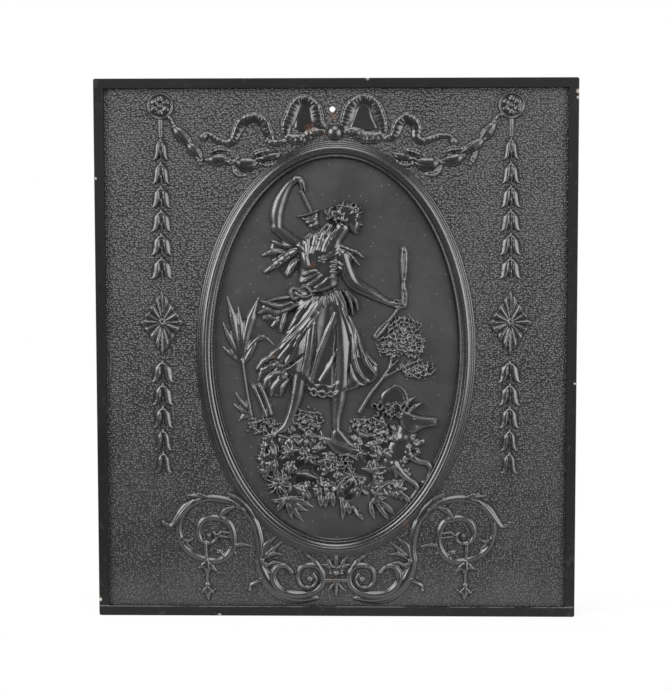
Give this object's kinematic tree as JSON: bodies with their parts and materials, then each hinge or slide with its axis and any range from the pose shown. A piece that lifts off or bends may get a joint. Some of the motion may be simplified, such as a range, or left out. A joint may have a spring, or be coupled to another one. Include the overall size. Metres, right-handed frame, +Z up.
{
  "type": "fireplace summer cover",
  "caption": "Rectangular cast iron fireplace summer cover: plain border, stippled field, oval medallion with a draped huntress in relief, ribbon bow, swags, husk drops and scrollwork.",
  "frame": {"origin": "middle of the flat underside of the border frame, where the cover stands on the hearth", "axes": "+Z up, +X to the right seen from the front, the decorated front faces -Y and the back +Y"},
  "size_m": [0.61, 0.028, 0.685],
  "materials": {
    "rim_enamel": "smooth satin black",
    "field_enamel": "stippled satin black",
    "medallion_enamel": "smooth satin black with specks",
    "ornament_enamel": "glossy satin black",
    "relief_enamel": "glossy satin black",
    "screw_steel": "dark oiled steel"
  },
  "bodies": {
    "root": {"rim_frame": "rim_enamel", "field_panel": "field_enamel", "medallion_plate": "medallion_enamel", "oval_moulding": "ornament_enamel", "ribbon_bow": "ornament_enamel", "ribbon_tail_left": "ornament_enamel", "ribbon_tail_right": "ornament_enamel", "swag_left": "ornament_enamel", "swag_right": "ornament_enamel", "rosette_left": "ornament_enamel", "rosette_right": "ornament_enamel", "upper_husks_left": "ornament_enamel", "upper_husks_right": "ornament_enamel", "lozenge_left": "ornament_enamel", "lozenge_right": "ornament_enamel", "lower_husks_left": "ornament_enamel", "lower_husks_right": "ornament_enamel", "scroll_left": "ornament_enamel", "scroll_right": "ornament_enamel", "pendant_left": "ornament_enamel", "pendant_right": "ornament_enamel", "base_scroll_left": "ornament_enamel", "base_scroll_right": "ornament_enamel", "base_palmette": "ornament_enamel", "huntress": "relief_enamel", "hunting_bow": "relief_enamel", "quiver": "relief_enamel", "reed_plant": "relief_enamel", "shrub": "relief_enamel", "hound": "relief_enamel", "ground_leaves_left": "relief_enamel", "ground_leaves_right": "relief_enamel", "frame_screws": "screw_steel", "moulding_screws": "screw_steel", "ornament_screws": "screw_steel", "relief_screws": "screw_steel"}
  },
  "joints": []
}
